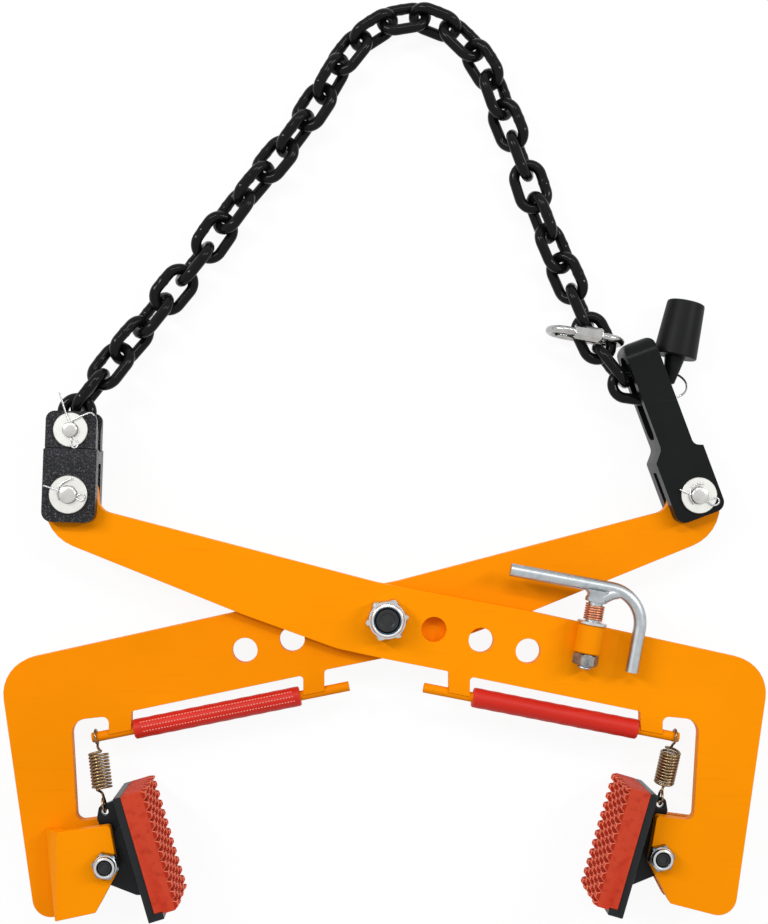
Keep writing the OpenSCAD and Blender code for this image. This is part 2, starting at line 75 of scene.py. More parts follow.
scene = bpy.context.scene
camera_data = bpy.data.cameras.new("camera")
camera_data.sensor_fit = "HORIZONTAL"
camera_data.sensor_width = 36
camera_data.lens = 65.24
camera_data.clip_end = 30
camera = bpy.data.objects.new("camera", camera_data)
camera.location = at(-40.5, 106.2, 1158.1)
camera.rotation_euler = (0.0174, -0.0341, 0.0016)
scene.collection.objects.link(camera)
scene.camera = camera
scene.view_settings.view_transform = "Standard"


def feed(tree, node, inputs):
    """Gives each named input a value, or the socket that feeds it."""
    for name, value in inputs.items():
        if isinstance(value, bpy.types.NodeSocket):
            tree.links.new(value, node.inputs[name])
        else:
            node.inputs[name].default_value = value
    return node


def add_node(tree, kind, inputs=None, **settings):
    made = tree.nodes.new("ShaderNode" + kind)
    for name, value in settings.items():
        setattr(made, name, value)
    return feed(tree, made, inputs or {})


def maths(tree, operation, first, second):
    return add_node(tree, "Math", {0: first, 1: second}, operation=operation).outputs[0]


def new_material(name):
    material = bpy.data.materials.new(name)
    material.use_nodes = True
    return material, material.node_tree, material.node_tree.nodes["Principled BSDF"]


def seen_rays(tree):
    """One for rays of the camera and for rays that metal or glass sends on."""
    rays = add_node(tree, "LightPath").outputs
    seen = maths(tree, "MAXIMUM", rays["Is Camera Ray"], rays["Is Glossy Ray"])
    return maths(tree, "MAXIMUM", seen, rays["Is Transmission Ray"])


def lit_or_seen(tree, lit, seen, share):
    """Shows the second shader to seen rays by the given share, and lights by the first."""
    return add_node(tree, "MixShader", {0: share, 1: lit.outputs[0], 2: seen.outputs[0]})


floor_white_share = 0.92
floor_half_width = 12
floor_depth = -0.0004
floor_material, tree, shader = new_material("studio_floor")
feed(tree, shader, {"Base Color": (0.97, 0.97, 0.97, 1), "Roughness": 0.9,
                    "Specular IOR Level": 0.1})
share = maths(tree, "MULTIPLY", seen_rays(tree), floor_white_share)
glow = add_node(tree, "Emission", {"Strength": 1.0})
whitened = lit_or_seen(tree, shader, glow, share)
feed(tree, tree.nodes["Material Output"], {"Surface": whitened.outputs[0]})
bm = bmesh.new()
bmesh.ops.create_grid(bm, x_segments=1, y_segments=1, size=floor_half_width)
bmesh.ops.translate(bm, verts=bm.verts, vec=(0, 0, floor_depth))
floor_mesh = bpy.data.meshes.new("studio_floor")
bm.to_mesh(floor_mesh)
bm.free()
floor_mesh.materials.append(floor_material)
studio_floor = bpy.data.objects.new("studio_floor", floor_mesh)
scene.collection.objects.link(studio_floor)

world = bpy.data.worlds.new("studio")
world.use_nodes = True
scene.world = world
tree = world.node_tree
room = feed(tree, tree.nodes["Background"], {"Color": (0.93, 0.96, 1.0, 1), "Strength": 0.5})
backdrop = add_node(tree, "Background", {"Color": (1, 1, 1, 1), "Strength": 1.0})
mixed_room = lit_or_seen(tree, room, backdrop, seen_rays(tree))
feed(tree, tree.nodes["World Output"], {"Surface": mixed_room.outputs[0]})

for name, place, target, size, power in (
        ("softbox_left", (-1.5, 0.9, 1.7), (0, 0, 0), (0.24, 1.3), 26),
        ("softbox_right", (1.6, 0.6, 1.6), (0, 0, 0), (0.2, 1.1), 17),
        ("softbox_top", (0.1, 1.4, 2.2), (0, 0.1, 0), (1.5, 0.24), 16)):
    light = bpy.data.lights.new(name, "AREA")
    light.shape = "RECTANGLE"
    light.size, light.size_y = size
    light.energy = power
    lamp = bpy.data.objects.new(name, light)
    lamp.location = place
    lamp.rotation_euler = (Vector(target) - Vector(place)).to_track_quat("-Z", "Y").to_euler()
    scene.collection.objects.link(lamp)

# Arms.
# Two alike flame-cut plates, one turned over, powder coated orange after welding.
# The coat rounds every edge a little, and shows a fine grain, faint rubbed marks and dust.


def new_group(name, inputs, outputs):
    """A shader node group: tuples are colours, and so is an output named Colour."""
    group = bpy.data.node_groups.new(name, "ShaderNodeTree")
    for title, value in inputs.items():
        kind = "NodeSocketColor" if isinstance(value, tuple) else "NodeSocketFloat"
        socket = group.interface.new_socket(name=title, in_out="INPUT", socket_type=kind)
        socket.default_value = value
    for title in outputs:
        kind = "NodeSocketColor" if title == "Colour" else "NodeSocketFloat"
        group.interface.new_socket(name=title, in_out="OUTPUT", socket_type=kind)
    given = group.nodes.new("NodeGroupInput").outputs
    return group, given, group.nodes.new("NodeGroupOutput")


def noise(tree, where, scale, detail, roughness=0.5):
    return add_node(tree, "TexNoise", {"Vector": where, "Scale": scale, "Detail": detail,
                                       "Roughness": roughness}).outputs["Fac"]


def ranged(tree, value, low, high, to_low=0.0, to_high=1.0):
    """Spreads a value from one range to another."""
    return add_node(tree, "MapRange", {
        "Value": value, "From Min": low, "From Max": high, "To Min": to_low,
        "To Max": to_high}).outputs[0]


def mixed(tree, share, below, above):
    return add_node(tree, "Mix", {"Factor": share, "A": below, "B": above},
                    data_type="RGBA").outputs["Result"]


def make_coat_group():
    group, given, out = new_group(
        "coat_wear_and_highlight",
        {"Colour": (0.9, 0.3, 0.01, 1), "Wear and highlight colour": (0.5, 0.12, 0.01, 1), "Edge wear and highlight": 0.5,
         "Clouding": 0.5, "Grain": 900.0, "Roughness": 0.4},
        ("Colour", "Roughness", "Height"))
    place = add_node(group, "TexCoord").outputs["Object"]
    cloud = noise(group, place, 14, 5)
    streaked = add_node(group, "Mapping", {
        "Vector": place, "Scale": (18, 260, 60), "Rotation": (0, 0, 0.25)}).outputs[0]
    rubs = ranged(group, noise(group, streaked, 1, 3), 0.62, 0.8)
    # Convex edges take the second colour, and rubbed streaks take a little of it. On most
    # surfaces this is wear; on the link block it is a lighter colour, a painted highlight.
    edges = ranged(group, add_node(group, "NewGeometry").outputs["Pointiness"], 0.52, 0.6)
    edge_wear_and_highlight = maths(group, "MULTIPLY", edges, given["Edge wear and highlight"])
    shade = ranged(group, cloud, 0.3, 0.7, 0.86, 1.06)
    shaded = add_node(group, "VectorMath", {0: given["Colour"], "Scale": shade},
                      operation="SCALE").outputs[0]
    clouded = mixed(group, given["Clouding"], given["Colour"], shaded)
    rubbed = mixed(group, maths(group, "MULTIPLY", rubs, 0.16), clouded, given["Wear and highlight colour"])
    worn_and_lit = mixed(group, edge_wear_and_highlight, rubbed, given["Wear and highlight colour"])
    gloss = ranged(group, cloud, 0.25, 0.75, -0.06, 0.08)
    feed(group, out, {"Colour": worn_and_lit, "Roughness": maths(group, "ADD", given["Roughness"], gloss),
                      "Height": noise(group, place, given["Grain"], 2)})
    return group


coat_wear_and_highlight = make_coat_group()


def coated(name, colour, worn_and_lit, roughness, grain=900, bump=0.00006, wear=0.5, clouding=0.5,
           specular=0.5):
    """A painted, moulded or lacquered surface with its grain, clouds and edge colour: wear on
    most surfaces, a painted highlight on the link block.
    """
    material, tree, shader = new_material(name)
    coat = add_node(tree, "Group", {
        "Colour": (*colour, 1), "Wear and highlight colour": (*worn_and_lit, 1), "Edge wear and highlight": wear,
        "Clouding": clouding, "Grain": grain, "Roughness": roughness},
        node_tree=coat_wear_and_highlight).outputs
    relief = add_node(tree, "Bump", {"Distance": bump, "Strength": 1, "Height": coat["Height"]})
    feed(tree, shader, {"Base Color": coat["Colour"], "Roughness": coat["Roughness"],
                        "Normal": relief.outputs[0], "Specular IOR Level": specular})
    return material


def place_piece(name, bm, materials, body, replaced=(), smooth_angle=35):
    mesh = bpy.data.meshes.new(name)
    bm.to_mesh(mesh)
    bm.free()
    for material in materials:
        mesh.materials.append(material)
    for face in mesh.polygons:
        face.use_smooth = True
        if len(materials) == 1:
            face.material_index = 0
    mesh.set_sharp_from_angle(angle=math.radians(smooth_angle))
    piece = bpy.data.objects.new(name, mesh)
    scene.collection.objects.link(piece)
    even = piece.modifiers.new("even_shading", "WEIGHTED_NORMAL")
    even.keep_sharp = True
    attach(piece, body)
    if replaced:
        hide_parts(*replaced)
    return piece


def rounded_copy(node, name, material, edge=0.0007, segments=2):
    """A CAD node's solid with its loose triangles joined and its edges rounded."""
    flat_angle, sharp_angle = math.radians(0.6), math.radians(32)
    source = frame["nodes"][node]
    bm = bmesh.new()
    bm.from_mesh(source.data)
    bmesh.ops.remove_doubles(bm, verts=bm.verts, dist=0.000004)
    bmesh.ops.dissolve_degenerate(bm, dist=0.000002, edges=bm.edges)
    bmesh.ops.dissolve_limit(bm, angle_limit=flat_angle, verts=bm.verts, edges=bm.edges)
    creases = [e for e in bm.edges
               if len(e.link_faces) == 2 and e.calc_face_angle(0) > sharp_angle]
    bmesh.ops.bevel(bm, geom=creases, offset=edge, offset_type="OFFSET", segments=segments,
                    profile=0.5, affect="EDGES", material=-1, clamp_overlap=True)
    return place_piece(name, bm, [material], source["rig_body"], [node])


orange_coat = coated("orange_coat", (0.965, 0.296, 0.0), (0.60, 0.14, 0.0), 0.42, wear=0.5,
                     clouding=0.3, bump=0.00003, specular=0.04)
# The second orange material is the same powder coat made darker as painted shade. It goes on the
# rear plate, the ear that lies behind the front arm, and the left handle bar.
orange_coat_painted_shade = coated("orange_coat_painted_shade", (0.925, 0.272, 0.0), (0.55, 0.12, 0.0), 0.42,
                          wear=0.5, clouding=0.4, bump=0.00003, specular=0.04)
rounded_copy("front_arm", "front_arm_plate", orange_coat, 0.0009)
rounded_copy("rear_arm", "rear_arm_plate", orange_coat_painted_shade, 0.0009)
rounded_copy("right_jaw_ear", "right_jaw_ear_plate", orange_coat_painted_shade)
rounded_copy("left_jaw_ear", "left_jaw_ear_plate", orange_coat)

# Pivot bolt and pad bolts.
# Zinc-plated hexagon bolts with nylon lock nuts: the nut has chamfered corners and a round
# collar, and the dark end of the bolt stands inside the collar.


def move(x, y, z):
    return Matrix.Translation((x, y, z))


def turn(degrees, axis):
    return Matrix.Rotation(math.radians(degrees), 4, axis)


def in_frame(*steps):
    """Takes a piece drawn in millimetres to its place in the shared frame."""
    place = Matrix.Translation(at(0, 0, 0)) @ Matrix.Scale(0.001, 4)
    for step in steps:
        place = place @ step
    return place


def make_metal_group():
    group, given, out = new_group(
        "plated_metal",
        {"Colour": (0.7, 0.7, 0.7, 1), "Stain colour": (0.4, 0.4, 0.4, 1), "Stains": 0.4,
         "Roughness": 0.3},
        ("Colour", "Roughness", "Height"))
    place = add_node(group, "TexCoord").outputs["Object"]
    cloud = noise(group, place, 160, 6, 0.65)
    stains = maths(group, "MULTIPLY", ranged(group, cloud, 0.4, 0.72), given["Stains"])
    spread = ranged(group, cloud, 0, 1, -0.08, 0.14)
    feed(group, out, {"Colour": mixed(group, stains, given["Colour"], given["Stain colour"]),
                      "Roughness": maths(group, "ADD", given["Roughness"], spread),
                      "Height": noise(group, place, 1400, 3)})
    return group


plated_metal = make_metal_group()


def plated(name, colour, stain, roughness, stains, bump=0.00002):
    """Bare or plated metal with cloudy stains."""
    material, tree, shader = new_material(name)
    metal = add_node(tree, "Group", {
        "Colour": (*colour, 1), "Stain colour": (*stain, 1), "Stains": stains,
        "Roughness": roughness}, node_tree=plated_metal).outputs
    relief = add_node(tree, "Bump", {"Distance": bump, "Strength": 1, "Height": metal["Height"]})
    feed(tree, shader, {"Base Color": metal["Colour"], "Roughness": metal["Roughness"],
                        "Normal": relief.outputs[0], "Metallic": 1})
    return material


zinc = plated("bright_zinc", (0.60, 0.60, 0.60), (0.34, 0.34, 0.33), 0.22, 0.5)
blue_zinc = plated("blue_zinc", (0.22, 0.27, 0.32), (0.10, 0.13, 0.16), 0.26, 0.5)
nylon_insert = coated("nylon_insert", (0.03, 0.06, 0.10), (0.1, 0.14, 0.18), 0.3)
dark_steel = plated("dark_bolt_steel", (0.035, 0.038, 0.042), (0.06, 0.05, 0.04), 0.36, 0.7)
weld_distance = 0.001


def ring_stack(bm, rings):
    """Joins round or six-sided rings into one shell: each ring is (kind, radius, z)."""
    previous = None
    for kind, radius, z in rings:
        loop = bmesh.ops.create_circle(bm, cap_ends=False, segments=48, radius=radius)["verts"]
        for v in loop:
            if kind == "hex":
                off_flat = math.degrees(math.atan2(v.co.y, v.co.x)) % 60 - 30
                reach = radius * math.cos(math.radians(30)) / math.cos(math.radians(off_flat))
                v.co *= reach / v.co.length
            v.co.z = z
        edges = list({e for v in loop for e in v.link_edges if e.other_vert(v) in loop})
        if previous:
            bmesh.ops.bridge_loops(bm, edges=previous + edges)
        previous = edges


def hex_lock_nut(name, node, centre, across, height, collar, bore, angle, material):
    """A nut whose round collar, given as its width and height, holds a nylon ring."""
    corner, flat, chamfer = across / math.sqrt(3), across / 2 * 0.985, across * 0.05
    out, top = collar[0] / 2, height + collar[1]
    bm = bmesh.new()
    ring_stack(bm, [
        ("round", bore, 0.02), ("round", flat, 0.02), ("hex", corner, chamfer),
        ("hex", corner, height - chamfer), ("round", flat, height),
        ("round", out + 0.6, height + 0.1), ("round", out, height + 0.7),
        ("round", out, top - 1.4), ("round", out - 0.5, top - 0.3), ("round", out - 1.3, top),
        ("round", out - 2.2, top - 0.25), ("round", out - 2.5, top - 1.0),
        ("round", bore + 0.5, top - 1.3), ("round", bore, top - 1.8), ("round", bore, 0.02)])
    bmesh.ops.remove_doubles(bm, verts=bm.verts, dist=weld_distance)
    bmesh.ops.recalc_face_normals(bm, faces=bm.faces)
    for face in bm.faces:
        middle = face.calc_center_median()
        if middle.z > height + 0.2:
            on_collar = math.hypot(middle.x, middle.y) > out - 2.3
            face.material_index = 1 if on_collar else 2
    bmesh.ops.transform(bm, matrix=in_frame(move(*centre), turn(angle, "Z")), verts=bm.verts)
    place_piece(name, bm, [material, zinc, nylon_insert], frame["nodes"][node]["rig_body"],
                [node], smooth_angle=28)


def turned_piece(bm, profile, place, steps=48):
    """Spins a profile of (radius, z) in millimetres and closes it where it meets the axis."""
    verts = [bm.verts.new((r, 0, z)) for r, z in profile]
    edges = [bm.edges.new(pair) for pair in zip(verts, verts[1:])]
    bmesh.ops.spin(bm, geom=verts + edges, cent=(0, 0, 0), axis=(0, 0, 1), steps=steps,
                   angle=math.tau, use_merge=True)
    bmesh.ops.remove_doubles(bm, verts=bm.verts, dist=0.0005)
    bmesh.ops.recalc_face_normals(bm, faces=bm.faces)
    bmesh.ops.transform(bm, matrix=place, verts=bm.verts)


def join_into(bm, part, place=Matrix.Identity(4)):
    mesh = bpy.data.meshes.new("part")
    part.to_mesh(mesh)
    part.free()
    mesh.transform(place)
    bm.from_mesh(mesh)
    bpy.data.meshes.remove(mesh)


def bolt_piece(name, node, centre, radius, head, across, length):
    """Hexagon head at the back, a shank with the last turns of its thread at the front."""
    thread_start, pitch = length - 14, 1.75
    shank = [(0, -0.2), (radius, -0.2), (radius, thread_start)]
    z = thread_start + pitch
    while z < length - 1.6:
        shank += [(radius - 0.05, z - pitch * 0.45), (radius - 0.75, z)]
        z += pitch
    shank += [(radius - 0.1, length - 1.4), (radius - 1.1, length), (radius * 0.62, length),
              (radius * 0.52, length - 0.7), (0, length - 0.8)]
    place = in_frame(move(*centre))
    bm = bmesh.new()
    turned_piece(bm, shank, place)
    corner = across / math.sqrt(3)
    hexagon = bmesh.new()
    ring_stack(hexagon, [("round", 0.4, -head), ("round", across * 0.46, -head),
                         ("hex", corner, -head + across * 0.05), ("hex", corner, -0.02),
                         ("round", 0.4, -0.02)])
    bmesh.ops.holes_fill(hexagon, edges=hexagon.edges)
    bmesh.ops.recalc_face_normals(hexagon, faces=hexagon.faces)
    join_into(bm, hexagon, place)
    place_piece(name, bm, [dark_steel], frame["nodes"][node]["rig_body"], [node],
                smooth_angle=28)


hex_lock_nut("pivot_lock_nut", "pivot_nut", (0, 0, 40.35), 30, 15, (26.5, 4.5), 10.02, 8, zinc)
hex_lock_nut("right_pad_lock_nut", "right_pad_nut", (220.6, -191.5, 40.25), 19, 8, (17, 3.5),
             6.02, 12, blue_zinc)
hex_lock_nut("left_pad_lock_nut", "left_pad_nut", (-220.6, -191.5, 51.75), 19, 8, (17, 3.5),
             6.02, -10, blue_zinc)
bolt_piece("pivot_bolt_m20", "pivot_bolt", (0, 0, 19.65), 9.98, 12, 30, 37.6)
bolt_piece("right_pad_bolt_m12", "right_pad_bolt", (220.6, -191.5, 8.23), 5.98, 7, 19, 42.5)
bolt_piece("left_pad_bolt_m12", "left_pad_bolt", (-220.6, -191.5, 19.73), 5.98, 7, 19, 42.5)

# Handle bars and grip sleeves.
# A round bar runs through the two lugs of each arm, and a soft red hose is pushed over it.
# The left hose shows the light stitches of its weave, the right one is plain.


def tube(bm, points, radius, place, closed=False, radii=None, sides=3):
    """Adds a round wire along points in millimetres; radii are shares of the radius."""
    curve = bpy.data.curves.new("wire", "CURVE")
    curve.dimensions = "3D"
    curve.bevel_depth = radius
    curve.bevel_resolution = sides
    curve.use_fill_caps = not closed
    spline = curve.splines.new("POLY")
    spline.points.add(len(points) - 1)
    for n, point in enumerate(points):
        spline.points[n].co = (*point, 1)
        spline.points[n].radius = radii[n] if radii else 1
    spline.use_cyclic_u = closed
    holder = bpy.data.objects.new("wire", curve)
    mesh = bpy.data.meshes.new_from_object(holder)
    mesh.transform(place)
    bm.from_mesh(mesh)
    bpy.data.objects.remove(holder)
    bpy.data.curves.remove(curve)
    bpy.data.meshes.remove(mesh)


# The left side of the clamp is the right side turned over about the y axis.
as_drawn = Matrix.Identity(4)
turned_over = move(0, 0, 60) @ turn(180, "Y")
bar_place = move(133.4, -76.4, 35.25) @ turn(-11.2, "Z") @ turn(90, "Y")
bar_radius, bar_half_length = 3.98, 105.5
hose_radius, hose_bore, hose_start, hose_end = 7.95, 4.05, -65.1, 70.9
weave_wire = 0.42
red_hose = coated("red_hose", (0.56, 0.016, 0.006), (0.75, 0.10, 0.05), 0.42, grain=700,
                  bump=0.00012, wear=0.3, clouding=0.6, specular=0.25)
weave_light = coated("weave_light", (0.93, 0.46, 0.38), (0.7, 0.2, 0.12), 0.6)
for side, over, body, coat in (
        ("right", as_drawn, "front_arm_body", orange_coat),
        ("left", turned_over, "rear_arm_body", orange_coat_painted_shade)):
    bm = bmesh.new()
    turned_piece(bm, [(0, -bar_half_length), (3.7, -bar_half_length), (bar_radius, -105.2),
                      (bar_radius, 105.2), (3.7, bar_half_length), (0, bar_half_length)],
                 in_frame(over, bar_place), 32)
    place_piece(side + "_round_bar", bm, [coat], body, [side + "_handle_bar"])
    bm = bmesh.new()
    wall = [(hose_bore, hose_start), (7.2, hose_start), (hose_radius, -64.2)]
    wall += [(hose_radius + 0.10 * math.sin(n * 0.9), -63 + 2 * n) for n in range(67)]
    wall += [(hose_radius, 70), (7.2, hose_end), (hose_bore, hose_end), (hose_bore, hose_start)]
    turned_piece(bm, wall, in_frame(over, bar_place), 40)
    place_piece(side + "_soft_hose", bm, [red_hose], body, [side + "_grip_sleeve"])
bm = bmesh.new()
for row, angle in enumerate((-14, 14, 44)):
    for n in range(52):
        z = -60 + 2.4 * n + 0.8 * row
        if z <= 68:
            spot = turned_over @ bar_place @ turn(180 + angle, "Z") @ move(-hose_radius, 0, z)
            tube(bm, [(0, 0, -0.6), (0, 0.35, 0), (0, 0, 0.6)], weave_wire, in_frame(spot),
                 sides=0)
place_piece("left_hose_weave", bm, [weave_light], "rear_arm_body")

# Pad shoes and rubber pads.
# Black castings hold red rubber blocks; the rubber face has staggered pyramid teeth with
# dusty, lighter ridges.


def make_speckle_group():
    group, given, out = new_group(
        "fine_speckles",
        {"Below": (0.5, 0.5, 0.5, 1), "Speckle": (0.1, 0.1, 0.1, 1), "Scale": 500.0,
         "Low": 0.5, "High": 0.7, "Amount": 0.5},
        ("Colour",))
    place = add_node(group, "TexCoord").outputs["Object"]
    grains = noise(group, place, given["Scale"], 3)
    specks = ranged(group, grains, given["Low"], given["High"], 0.0, given["Amount"])
    feed(group, out, {"Colour": mixed(group, specks, given["Below"], given["Speckle"])})
    return group


fine_speckles = make_speckle_group()


def speckled(material, colour, scale, low, high, amount):
    """Lays fine specks of another colour over a coated material."""
    tree = material.node_tree
    shader = tree.nodes["Principled BSDF"]
    specks = add_node(tree, "Group", {
        "Below": shader.inputs["Base Color"].links[0].from_socket, "Speckle": (*colour, 1),
        "Scale": scale, "Low": low, "High": high, "Amount": amount}, node_tree=fine_speckles)
    feed(tree, shader, {"Base Color": specks.outputs["Colour"]})


black_cast = coated("black_cast", (0.009, 0.010, 0.011), (0.04, 0.04, 0.045), 0.3, grain=900,
                    bump=0.00018, wear=0.4, clouding=0.5, specular=0.13)
rounded_copy("right_shoe", "right_cast_shoe", black_cast, 0.0010)
rounded_copy("left_shoe", "left_cast_shoe", black_cast, 0.0010)
red_rubber = coated("red_rubber", (0.52, 0.030, 0.008), (0.66, 0.11, 0.05), 0.62, grain=1100,
                    bump=0.00010, wear=0.4, clouding=0.8, specular=0.15)
speckled(red_rubber, (0.30, 0.012, 0.003), 170, 0.50, 0.75, 0.5)
rubber_flank = coated("rubber_flank", (0.36, 0.016, 0.004), (0.5, 0.05, 0.02), 0.65, grain=1100,
                      bump=0.0001, wear=0.2, clouding=0.9, specular=0.1)
rubber_ridge = coated("rubber_ridge", (0.86, 0.24, 0.13), (0.62, 0.06, 0.03), 0.7, grain=1100,
                      bump=0.00008, wear=0.2, clouding=0.9, specular=0.15)

# In the pad's own frame x runs away from the stone, y along the pad and z across it.
pad_place = move(220.6, -191.5, 0) @ turn(-16.5, "Z")
pad_low, pad_high, pad_width = -48, 49, 60
slab_back, slab_face, tooth_root, tooth_tip = -26.4, -43.4, -43.1, -46.4
tooth_columns, tooth_pitch = 6, (pad_high - pad_low) / 12
tooth_width = pad_width // tooth_columns
rim_width = 0.45
plain_rubber, ridge_rubber, flank_rubber = 0, 1, 2


def prism(bm, outline, low, high, edge):
    """Adds an extruded outline in millimetres with rounded edges."""
    part = bmesh.new()
    base = part.faces.new([part.verts.new((x, y, low)) for x, y in outline])
    grown = bmesh.ops.extrude_face_region(part, geom=[base])["geom"]
    bmesh.ops.translate(part, verts=[g for g in grown if isinstance(g, bmesh.types.BMVert)],
                        vec=(0, 0, high - low))
    bmesh.ops.recalc_face_normals(part, faces=part.faces)
    bmesh.ops.bevel(part, geom=[e for e in part.edges if e.calc_face_angle(0) > 0.5],
                    offset=edge, offset_type="OFFSET", segments=2, profile=0.5,
                    affect="EDGES", material=-1, clamp_overlap=True)
    join_into(bm, part)


def pad_tooth(bm, low, high, near, far):
    """One pyramid: low and high are its ends along the pad, near and far its sides."""
    inset = 2.4
    crest = (low + 0.30 * (high - low), high - 0.24 * (high - low))
    side = (near + inset if near > 0 else near, far - inset if far < pad_width else far)
    points = [(tooth_root, y, z) for y in (low + 0.3, high - 0.3) for z in (near, far)]
    points += [(tooth_tip, y, z) for y in crest for z in side]
    bmesh.ops.convex_hull(bm, input=[bm.verts.new(p) for p in points])


for side, over in (("right", as_drawn), ("left", turned_over)):
    bm = bmesh.new()
    prism(bm, [(slab_face, pad_high), (slab_back, pad_high), (slab_back, -46.2),
               (-33.1, -46.2), (-33.1, pad_low), (slab_face, pad_low)], 0.02, pad_width, 0.7)
    teeth = bmesh.new()
    for column in range(tooth_columns):
        shift = 0.5 * (column % 2)
        for row in range(-1, 12):
            low = max(pad_low, pad_low + tooth_pitch * (row + shift))
            high = min(pad_high, pad_low + tooth_pitch * (row + shift + 1))
            if high - low > 1:
                pad_tooth(teeth, low, high, tooth_width * column, tooth_width * (column + 1))
    bmesh.ops.recalc_face_normals(teeth, faces=teeth.faces)
    bmesh.ops.dissolve_limit(teeth, angle_limit=0.01, verts=teeth.verts, edges=teeth.edges)
    for face in teeth.faces:
        on_crest = face.calc_center_median().x < tooth_tip + 0.2
        face.material_index = plain_rubber if on_crest else flank_rubber
    ridges = [e for e in teeth.edges if e.calc_face_angle(0) > 0.3
              and min(v.co.x for v in e.verts) < -44]
    bmesh.ops.bevel(teeth, geom=ridges, offset=rim_width, offset_type="OFFSET", segments=1,
                    profile=0.5, affect="EDGES", material=ridge_rubber, clamp_overlap=True)
    join_into(bm, teeth)
    bmesh.ops.transform(bm, matrix=in_frame(over, pad_place), verts=bm.verts)
    place_piece(side + "_toothed_pad", bm, [red_rubber, rubber_ridge, rubber_flank],
                frame["nodes"][side + "_pad"]["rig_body"], [side + "_pad"],
                smooth_angle=25)

# Pad springs.
# Close-wound extension springs of bronze-coloured wire, with a round hook at each end: one
# hooks into the tip of the handle bar, the other into the horn of the shoe.
bronze = plated("bronze_wire", (0.25, 0.17, 0.09), (0.08, 0.055, 0.03), 0.18, 0.15, 0.000004)


def arc(radius, start, end, step=12, centre=(0, 0)):
    count = max(2, int(abs(end - start) / step))
    angles = [math.radians(start + (end - start) * n / count) for n in range(count + 1)]
    return [(centre[0] + radius * math.cos(a), centre[1] + radius * math.sin(a)) for a in angles]


def bezier(a, b, c, d):
    """Seven points on a curve from a to d, without its two ends."""
    found = []
    for n in range(1, 8):
        t = n / 8
        found.append(tuple((1 - t) ** 3 * p + 3 * (1 - t) ** 2 * t * q + 3 * (1 - t) * t * t * r
                           + t ** 3 * w for p, q, r, w in zip(a, b, c, d)))
    return found


def helix(radius, turns, steps, start, climb):
    """A coil's points: steps are counted in a turn, and climb is its rise in a turn."""
    angles = [math.tau * n / steps for n in range(int(turns * steps) + 1)]
    return [(radius * math.cos(a), radius * math.sin(a), start + climb * a / math.tau)
            for a in angles]


spring_low, spring_high = Vector((225, -148, 22.95)), Vector((233.5, -96.2, 35.25))
span = spring_high - spring_low
length, coil_radius, coil_turns, coil_pitch, spring_wire = span.length, 7.3, 11, 2.55, 1.08
rise = (length - coil_turns * coil_pitch) / 2
hook = [(x, 0, z) for x, z in arc(5.6, 62, -250)]
hook_end = (0, 0, rise - 5.5)
lead = [hook_end] + bezier(hook_end, (0, 0, rise - 0.8), (coil_radius, -coil_radius, rise - 0.8),
                           (coil_radius, 0, rise))
half = hook + lead
wire = half + helix(coil_radius, coil_turns, 24, rise, coil_pitch)
wire += [(x, -y, length - z) for x, y, z in reversed(half)]
spring_place = Matrix.Translation(spring_low) \
    @ Matrix.Rotation(math.atan2(span.y, span.x), 4, "Z") \
    @ Matrix.Rotation(math.acos(span.z / length), 4, "Y")
for side, over in (("right", as_drawn), ("left", turned_over)):
    bm = bmesh.new()
    tube(bm, wire, spring_wire, in_frame(over, spring_place))
    place_piece(side + "_coil_spring", bm, [bronze], side + "_spring_body",
                [side + "_pad_spring"], smooth_angle=60)

# Lock lever.
# A bent zinc-plated bar is welded on a spindle; the spindle slides in a bush on the front arm
# and a copper-coloured spring pushes the lever away from it.
axis_height, bar_underside = 51.25, 47
lever_place = move(161.3, -15.4, axis_height) @ turn(-10.5, "Z") @ turn(-90, "X")
lever_radius, fillet_radius, weld_bead = 5.2, 5.4, 2.2
lever_zinc = plated("lever_zinc", (0.46, 0.49, 0.51), (0.26, 0.29, 0.31), 0.30, 0.6)
copper = plated("copper_wire", (0.62, 0.24, 0.12), (0.22, 0.08, 0.04), 0.3, 0.45)
rough_zinc = plated("rough_zinc", (0.30, 0.30, 0.29), (0.07, 0.07, 0.07), 0.40, 0.9, 0.0001)
bm = bmesh.new()
bend = [(x, 0, z) for x, z in arc(27.6, 90, 0, 6, (10.7, 15.4))]
tube(bm, [(-72, 0, 43), (-40, 0, 43), (-10, 0, 43)] + bend + [(38.3, 0, -2), (38.3, 0, -20)],
     lever_radius, in_frame(lever_place), sides=6)
tube(bm, [(1.5, 0, 31.8), (5, 0, 34.6), (11, 0, 38.6), (20, 0, 41.6)], fillet_radius,
     in_frame(lever_place), radii=[0.9, 1, 0.95, 0.85], sides=5)
for v in bm.verts:
    v.co.z = max(v.co.z, bar_underside / 1000)
place_piece("lever_bar", bm, [lever_zinc], frame["nodes"]["lock_lever"]["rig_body"],
            ["lock_lever"])
bm = bmesh.new()
spindle = [(0, -24), (5, -24), (5.9, -23.2)]
spindle += [(5.9 - 0.45 * (n % 2), -22.6 + 0.85 * n) for n in range(14)]
spindle += [(5.95, -10), (5.95, 29.95), (8.6, 29.95), (8.9, 30.4), (8.9, 33.2), (8.0, 34.2),
            (8.4, 36), (10.6, 38.4), (10.8, 39.4), (0, 39.4)]
turned_piece(bm, spindle, Matrix.Identity(4), 40)
hub_start, hub_flatness = 33, 0.72
for v in bm.verts:
    if v.co.z > hub_start:
        v.co.y *= hub_flatness
bmesh.ops.transform(bm, matrix=in_frame(lever_place), verts=bm.verts)
place_piece("lever_spindle_turned", bm, [lever_zinc], "spindle_body", ["lever_spindle"])
bm = bmesh.new()
lever_coil_turns, lever_coil_length = 6.6, 12.6
tube(bm, helix(7.1, lever_coil_turns, 22, 15.3, lever_coil_length / lever_coil_turns), 0.85,
     in_frame(lever_place), sides=2)
